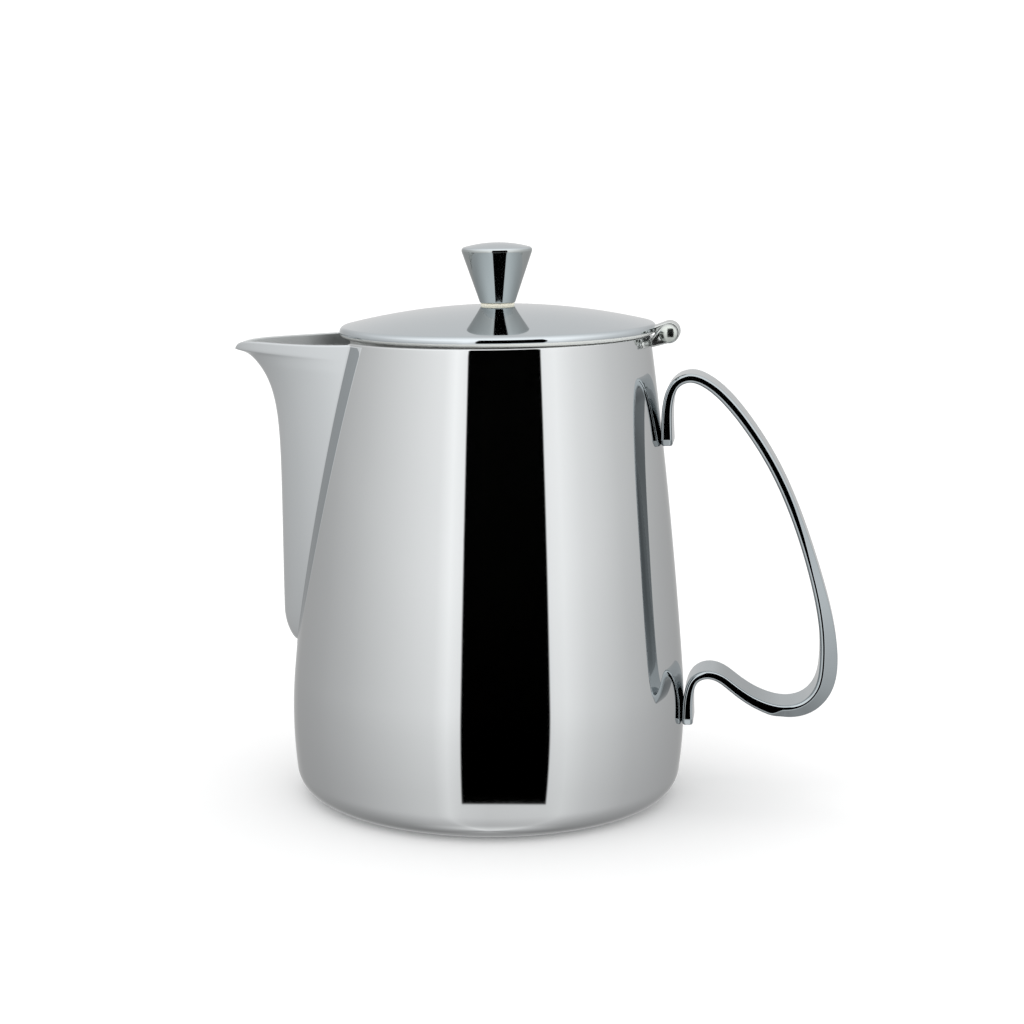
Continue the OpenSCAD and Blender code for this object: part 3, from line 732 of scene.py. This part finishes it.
def knob():
    base = dome_top + FOOT_RING_H
    side = math.degrees(math.atan((KNOB_TOP_R - KNOB_FOOT_R) / KNOB_H))
    edge_x = KNOB_TOP_R - KNOB_EDGE_R
    lean = math.degrees(math.asin(edge_x / (KNOB_DOME_R - KNOB_EDGE_R)))
    dome_z = base + KNOB_H - (KNOB_DOME_R - KNOB_EDGE_R) * cos_d(lean)
    edge = arc(edge_x, base + KNOB_H, KNOB_EDGE_R, -side, 90 - lean, KNOB_EDGE_STEPS)
    foot, edge_start = np.array((KNOB_FOOT_R, base + FOOT_BEVEL)), np.array(edge[0])
    slope = [tuple(foot + (edge_start - foot) * k / KNOB_SIDE_STEPS) for k in range(1, KNOB_SIDE_STEPS)]
    bore = [(0, base + BORE_H), (BORE_R, base + BORE_H), (BORE_R, base)]
    outline = held(bore + [(KNOB_FOOT_R - FOOT_BEVEL, base), tuple(foot), slope[0]])[:-1] + slope
    # The upper half of the rounded edge and the top take the lid's lighter steel; the darker steel below them
    # is painted shade
    top_from = len(outline) + KNOB_EDGE_STEPS // 2
    outline += edge + arc(0, dome_z, KNOB_DOME_R, 90 - lean, 90, KNOB_DOME_STEPS)[1:]
    points, faces = revolve(outline, KNOB_SEGMENTS)
    top = {k for k in range(len(faces)) if k // KNOB_SEGMENTS >= top_from}
    finish_mesh("steel_knob", seat_on_lid(points), faces, "lid", knob_steel, ["knob"],
                [(lid_steel, top)])


def foot_ring():
    radius = (ring_high[1] - ring_low[1]) / 2
    base, top = dome_top - RING_SINK, dome_top + FOOT_RING_H
    outline = held([(SCREW_HOLE_R, base), (radius, base), (radius, top - RING_BEVEL),
                    (radius - RING_BEVEL, top), (SCREW_HOLE_R, top)], RING_HOLD)
    points, faces = revolve(outline, RING_SEGMENTS, closed=True)
    finish_mesh("ivory_ring", seat_on_lid(points), faces, "lid", ring_ivory,
                ["knob_foot_ring"])


# ---------------------------------------------------------------- hinge
PIN_R = 1.1
PIN_GAP = 0.05
PIN_SEGMENTS, PIN_DOME_STEPS = 72, 16
# Half lengths of the barrel and of the leaf's knuckle, and the gap beside that
BARREL_HALF = 7.4
LEAF_HALF = 3.9
SIDE_GAP = 0.4
# The pin's heads: radius, height of the rim, radius of the dome; bevel behind them and its height
HEAD_R, HEAD_RIM, HEAD_DOME_R = 2.25, 0.2, 4.1
HEAD_BEVEL, HEAD_LIFT, HEAD_SINK = 0.1, 0.08, 0.01
LUG_R, LEAF_R, LEAF_T = 2.45, 2.9, 1.2
# The leaf's root lies this far inside the lid's edge
LEAF_SINK = 0.6
# Angles between the points of an eye and between its support directions; its bevel and its hold distance
EYE_STEP, EYE_LOOK_STEP = 3.0, 0.5
EYE_BEVEL, EYE_HOLD = 0.3, 0.08
# Cosine below which a support direction lies too square to a ray to limit it
MIN_FACING = 0.02
# The bracket's plate on the body, sunk a little into it and swept to both sides
PLATE_T, PLATE_SINK, PLATE_SWEEP, PLATE_STEPS = 1.0, 0.3, 18.0, 40
PLATE_R, PLATE_EDGE_R = 0.3, 0.2
# Both ends of the plate's height, down from the rim's height on the axis
PLATE_DOWN_TO, PLATE_DOWN_FROM = 1.9, 0.1
plate_z0, plate_z1 = BODY_H - PLATE_DOWN_TO, BODY_H - PLATE_DOWN_FROM


def eye(name, eye_r, root, bore_r, y0, y1, body, node):
    """An eye round the hinge axis with a web to the root points: a convex outline with bevelled ends."""
    centre = np.array([hinge_x, hinge_z])
    turns = np.radians(np.arange(0, 360, EYE_STEP))
    rim = centre + eye_r * np.stack([np.cos(turns), np.sin(turns)], -1)
    root = np.array(root, float)
    root_angles = np.arctan2(*(root - centre).T[::-1]) % (2 * math.pi)
    angles = np.unique(np.concatenate([turns, root_angles]))
    # Support distances in every direction give the convex outline
    look = np.radians(np.arange(0, 360, EYE_LOOK_STEP))
    normal = np.stack([np.cos(look), np.sin(look)], -1)
    support = ((np.vstack([rim, root]) - centre) @ normal.T).max(0)
    facing = np.cos(angles[:, None] - look[None, :])

    def loop(y, radius):
        return np.stack([hinge_x + radius * np.cos(angles), np.full(len(angles), y),
                         hinge_z + radius * np.sin(angles)], -1)

    def skin(y, inset):
        reach = (support - inset) / np.maximum(facing, MIN_FACING)
        return loop(y, np.where(facing > MIN_FACING, reach, np.inf).min(1))

    end = [(0, EYE_BEVEL + EYE_HOLD), (0, EYE_BEVEL), (EYE_BEVEL / 3, EYE_BEVEL / 3), (EYE_BEVEL, 0),
           (EYE_BEVEL + EYE_HOLD, 0)]
    bore = np.full(len(angles), bore_r)
    loops = [loop(y0, bore)] + [skin(y0 + step, inset) for step, inset in end]
    loops += [skin(y1 - step, inset) for step, inset in reversed(end)] + [loop(y1, bore)]
    faces = grid_faces(len(loops), len(angles), wrap_cols=True, wrap_rows=True)
    finish_mesh(name, np.concatenate(loops), faces, body, hinge_steel, [node])


def hinge_plate(r0, r1):
    section = rounded([(r0 - PLATE_SINK, plate_z0, PLATE_EDGE_R), (r0 + PLATE_T, plate_z0, PLATE_R),
                       (r1 + PLATE_T, plate_z1, PLATE_R), (r1 - PLATE_SINK, plate_z1, PLATE_EDGE_R)])
    rings = [[(r * cos_d(a), r * sin_d(a), z) for r, z in section]
             for a in np.linspace(-PLATE_SWEEP, PLATE_SWEEP, PLATE_STEPS + 1)]
    points, faces = tube(rings)
    finish_mesh("steel_hinge_plate", points, faces, "pot", hinge_steel, ["hinge_bracket"])


def hinge_pin():
    lean = math.degrees(math.asin(HEAD_R / HEAD_DOME_R))
    dome_y = BARREL_HALF + HEAD_RIM - HEAD_DOME_R * cos_d(lean)
    back_y = BARREL_HALF - HEAD_SINK
    half = [(PIN_R, back_y), (HEAD_R - HEAD_BEVEL, back_y), (HEAD_R, BARREL_HALF + HEAD_LIFT)]
    half += arc(0, dome_y, HEAD_DOME_R, 90 - lean, 90, PIN_DOME_STEPS)
    turned, faces = revolve([(r, -y) for r, y in half[::-1]] + half, PIN_SEGMENTS)
    points = np.stack([hinge_x + turned[:, 0], turned[:, 2], hinge_z + turned[:, 1]], -1)
    finish_mesh("steel_pin", points, faces, "pot", pin_steel, ["hinge_pin"])


def hinge():
    r0, r1 = float(wall_r(plate_z0)), float(wall_r(plate_z1))
    lug_root = [(r0 + PLATE_SINK, plate_z0), (r0 + PLATE_T, plate_z0), (r1 + PLATE_SINK, plate_z1)]
    near, far = LEAF_HALF + SIDE_GAP, BARREL_HALF
    eye("steel_lug_near", LUG_R, lug_root, PIN_R, -far, -near, "pot", "hinge_bracket")
    eye("steel_lug_far", LUG_R, lug_root, PIN_R, near, far, "pot", "hinge_bracket")
    leaf_x = LID_SHIFT + lid_r - LEAF_SINK
    leaf_z = lid_edge_z + leaf_x * sin_d(RIM_RISE)
    leaf_root = [(leaf_x, leaf_z - LEAF_T / 2), (leaf_x, leaf_z + LEAF_T / 2)]
    eye("steel_leaf", LEAF_R, leaf_root, PIN_R + PIN_GAP, -LEAF_HALF, LEAF_HALF, "lid", "lid_hinge_leaf")
    hinge_plate(r0, r1)
    hinge_pin()


body_shell()
spout()
handle()
hinge()
lid_shell()
knob()
foot_ring()

for node, material in (("lid_locating_ring", inner_steel), ("knob_screw", screw_steel),
                       ("knob_screw_washer", screw_steel)):
    carried = frame["nodes"][node]
    carried.data.materials.clear()
    carried.data.materials.append(material)


# ---------------------------------------------------------------- studio, in metres
# The camera stands at an azimuth and a distance from the pot's axis and looks past it by a small yaw
CAMERA_AZIMUTH = 7.5
CAMERA_DISTANCE = 0.603
CAMERA_HEIGHT = 0.1816
CAMERA_YAW = 0.58
CAMERA_PITCH = 9.65
CAMERA_ROLL = 0.44
# Lens and sensor in millimetres
CAMERA_LENS, SENSOR_W = 77.03, 36
CLIP_NEAR, CLIP_FAR = 0.01, 100


def camera():
    data = bpy.data.cameras.new("camera")
    data.lens = CAMERA_LENS
    data.sensor_width = SENSOR_W
    data.clip_start, data.clip_end = CLIP_NEAR, CLIP_FAR
    cam = bpy.data.objects.new("camera", data)
    bpy.context.scene.collection.objects.link(cam)
    turn = (Matrix.Rotation(math.radians(CAMERA_AZIMUTH - CAMERA_YAW), 4, "Z")
            @ Matrix.Rotation(math.radians(90 - CAMERA_PITCH), 4, "X")
            @ Matrix.Rotation(math.radians(CAMERA_ROLL), 4, "Z"))
    place = Vector((CAMERA_DISTANCE * sin_d(CAMERA_AZIMUTH), -CAMERA_DISTANCE * cos_d(CAMERA_AZIMUTH),
                    CAMERA_HEIGHT))
    cam.matrix_world = Matrix.Translation(place) @ turn
    bpy.context.scene.camera = cam


# What the steel sees level with it, by azimuth from the camera to the right, as display greys
LEVEL = [(-180, 175), (-170, 174), (-160, 160), (-150, 156), (-115, 172), (-90, 187), (-60, 208), (-32, 226),
         (-24, 243), (-16, 232), (0, 225), (35, 230), (45, 236), (60, 218), (90, 193), (110, 182), (150, 158),
         (160, 158), (170, 174), (180, 175)]
# How that falls off below, by height from the horizon in degrees, as display greys against white
BELOW = [(-90, 240), (-78, 220), (-66, 195), (-55, 198), (-45, 205), (-30, 217), (-25, 219), (-13, 230),
         (-6, 239), (0, 250), (10, 255)]
BELOW_LOW, BELOW_HIGH = BELOW[0][0], BELOW[-1][0]
# What it sees from above, by how far that lies on the camera's side, as display greys, and the heights
# between which it is blended in
ABOVE = [(0.0, 175), (0.2, 186), (0.4, 203), (0.75, 243), (1.0, 252)]
ABOVE_FROM, ABOVE_TO = 10, 30
# The dark gap on the camera's side, in azimuth and in height, and the softness of its edges
DARK_LEFT, DARK_RIGHT, DARK_SIDE_SOFT = -15.5, 34.5, 1.0
DARK_LOW, DARK_HIGH, DARK_HEIGHT_SOFT = -27.6, 38.0, 0.4
# Share of the light that the body's steel reflects; the surroundings are brighter by it, so that the greys
# above are the ones that show on the pot
STEEL_SHARE = 0.585
# Light that falls on everything that is not a mirror
PLAIN_STRENGTH = 1.2
WHITE, GAMMA = 255, 2.2


def world():
    """Surroundings as the steel sees them: pale panels all round, with a dark gap on the camera's side."""
    studio = bpy.data.worlds.new("studio")
    bpy.context.scene.world = studio
    studio.use_nodes = True
    nodes, links = studio.node_tree.nodes, studio.node_tree.links
    nodes.clear()

    def feed(socket, value):
        if isinstance(value, (int, float)):
            socket.default_value = value
        else:
            links.new(value, socket)

    def math_node(operation, *values):
        node = nodes.new("ShaderNodeMath")
        node.operation = operation
        for socket, value in zip(node.inputs, values):
            feed(socket, value)
        return node.outputs["Value"]

    def vector_node(operation, first, name, second):
        node = nodes.new("ShaderNodeVectorMath")
        node.operation = operation
        links.new(first, node.inputs[0])
        links.new(second, node.inputs[name])
        return node.outputs["Vector"]

    def climb(value, low, high):
        """0 at low to 1 at high."""
        node = nodes.new("ShaderNodeMapRange")
        node.inputs["From Min"].default_value = low
        node.inputs["From Max"].default_value = high
        links.new(value, node.inputs["Value"])
        return node.outputs["Result"]

    def between(value, low, high, soft):
        """1 between low and high, with soft edges outside them."""
        return math_node("MULTIPLY", climb(value, low - soft, low), climb(value, high + soft, high))

    def grey_ramp(stops, place):
        """A colour ramp over 0 to 1 from (place, display grey) pairs."""
        node = nodes.new("ShaderNodeValToRGB")
        elements = node.color_ramp.elements
        while len(elements) > 1:
            elements.remove(elements[-1])
        for k, (at, grey) in enumerate(stops):
            element = elements[0] if k == 0 else elements.new(at)
            element.position = at
            light = (grey / WHITE) ** GAMMA
            element.color = (light, light, light, 1)
        links.new(place, node.inputs["Fac"])
        return node.outputs["Color"]

    coord = nodes.new("ShaderNodeTexCoord")
    turn = nodes.new("ShaderNodeVectorRotate")
    turn.rotation_type = "Z_AXIS"
    turn.inputs["Angle"].default_value = math.radians(90 - CAMERA_AZIMUTH)
    links.new(coord.outputs["Generated"], turn.inputs["Vector"])
    split = nodes.new("ShaderNodeSeparateXYZ")
    links.new(turn.outputs["Vector"], split.inputs["Vector"])
    towards = split.outputs["X"]
    azimuth = math_node("DEGREES", math_node("ARCTAN2", split.outputs["Y"], towards))
    height = math_node("DEGREES", math_node("ARCSINE", split.outputs["Z"]))

    level = grey_ramp([((a + 180) / 360, g) for a, g in LEVEL], climb(azimuth, -180, 180))
    below_span = BELOW_HIGH - BELOW_LOW
    below = grey_ramp([((h - BELOW_LOW) / below_span, g) for h, g in BELOW],
                      climb(height, BELOW_LOW, BELOW_HIGH))
    above = grey_ramp(ABOVE, climb(towards, -1, 1))
    sky = nodes.new("ShaderNodeMix")
    sky.data_type = "RGBA"
    links.new(climb(height, ABOVE_FROM, ABOVE_TO), sky.inputs["Factor"])
    links.new(level, sky.inputs["A"])
    links.new(above, sky.inputs["B"])
    dark = math_node("MULTIPLY", between(azimuth, DARK_LEFT, DARK_RIGHT, DARK_SIDE_SOFT),
                     between(height, DARK_LOW, DARK_HIGH, DARK_HEIGHT_SOFT))
    shaded = vector_node("MULTIPLY", sky.outputs["Result"], 1, below)
    gapped = vector_node("SCALE", shaded, "Scale", math_node("SUBTRACT", 1.0, dark))

    seen = nodes.new("ShaderNodeBackground")
    seen.inputs["Strength"].default_value = 1 / STEEL_SHARE
    links.new(gapped, seen.inputs["Color"])
    plain = nodes.new("ShaderNodeBackground")
    plain.inputs["Color"].default_value = (1, 1, 1, 1)
    plain.inputs["Strength"].default_value = PLAIN_STRENGTH
    path = nodes.new("ShaderNodeLightPath")
    glossy = nodes.new("ShaderNodeMixShader")
    links.new(path.outputs["Is Glossy Ray"], glossy.inputs["Fac"])
    links.new(plain.outputs["Background"], glossy.inputs[1])
    links.new(seen.outputs["Background"], glossy.inputs[2])
    out = nodes.new("ShaderNodeOutputWorld")
    links.new(glossy.outputs["Shader"], out.inputs["Surface"])


FLOOR_HALF = 6.0
FLOOR_WHITE = 0.97


def floor():
    mesh = bpy.data.meshes.new("floor")
    corners = [(x * FLOOR_HALF, y * FLOOR_HALF, 0) for x, y in ((-1, -1), (1, -1), (1, 1), (-1, 1))]
    mesh.from_pydata(corners, [], [(0, 1, 2, 3)])
    plane = bpy.data.objects.new("floor", mesh)
    bpy.context.scene.collection.objects.link(plane)
    material, nodes, links = node_tree("floor_paper")
    shader = nodes.new("ShaderNodeBsdfDiffuse")
    shader.inputs["Color"].default_value = (FLOOR_WHITE, FLOOR_WHITE, FLOOR_WHITE, 1)
    out = nodes.new("ShaderNodeOutputMaterial")
    links.new(shader.outputs["BSDF"], out.inputs["Surface"])
    mesh.materials.append(material)
    plane.visible_glossy = False


camera()
world()
floor()
bpy.context.scene.view_settings.view_transform = "Standard"
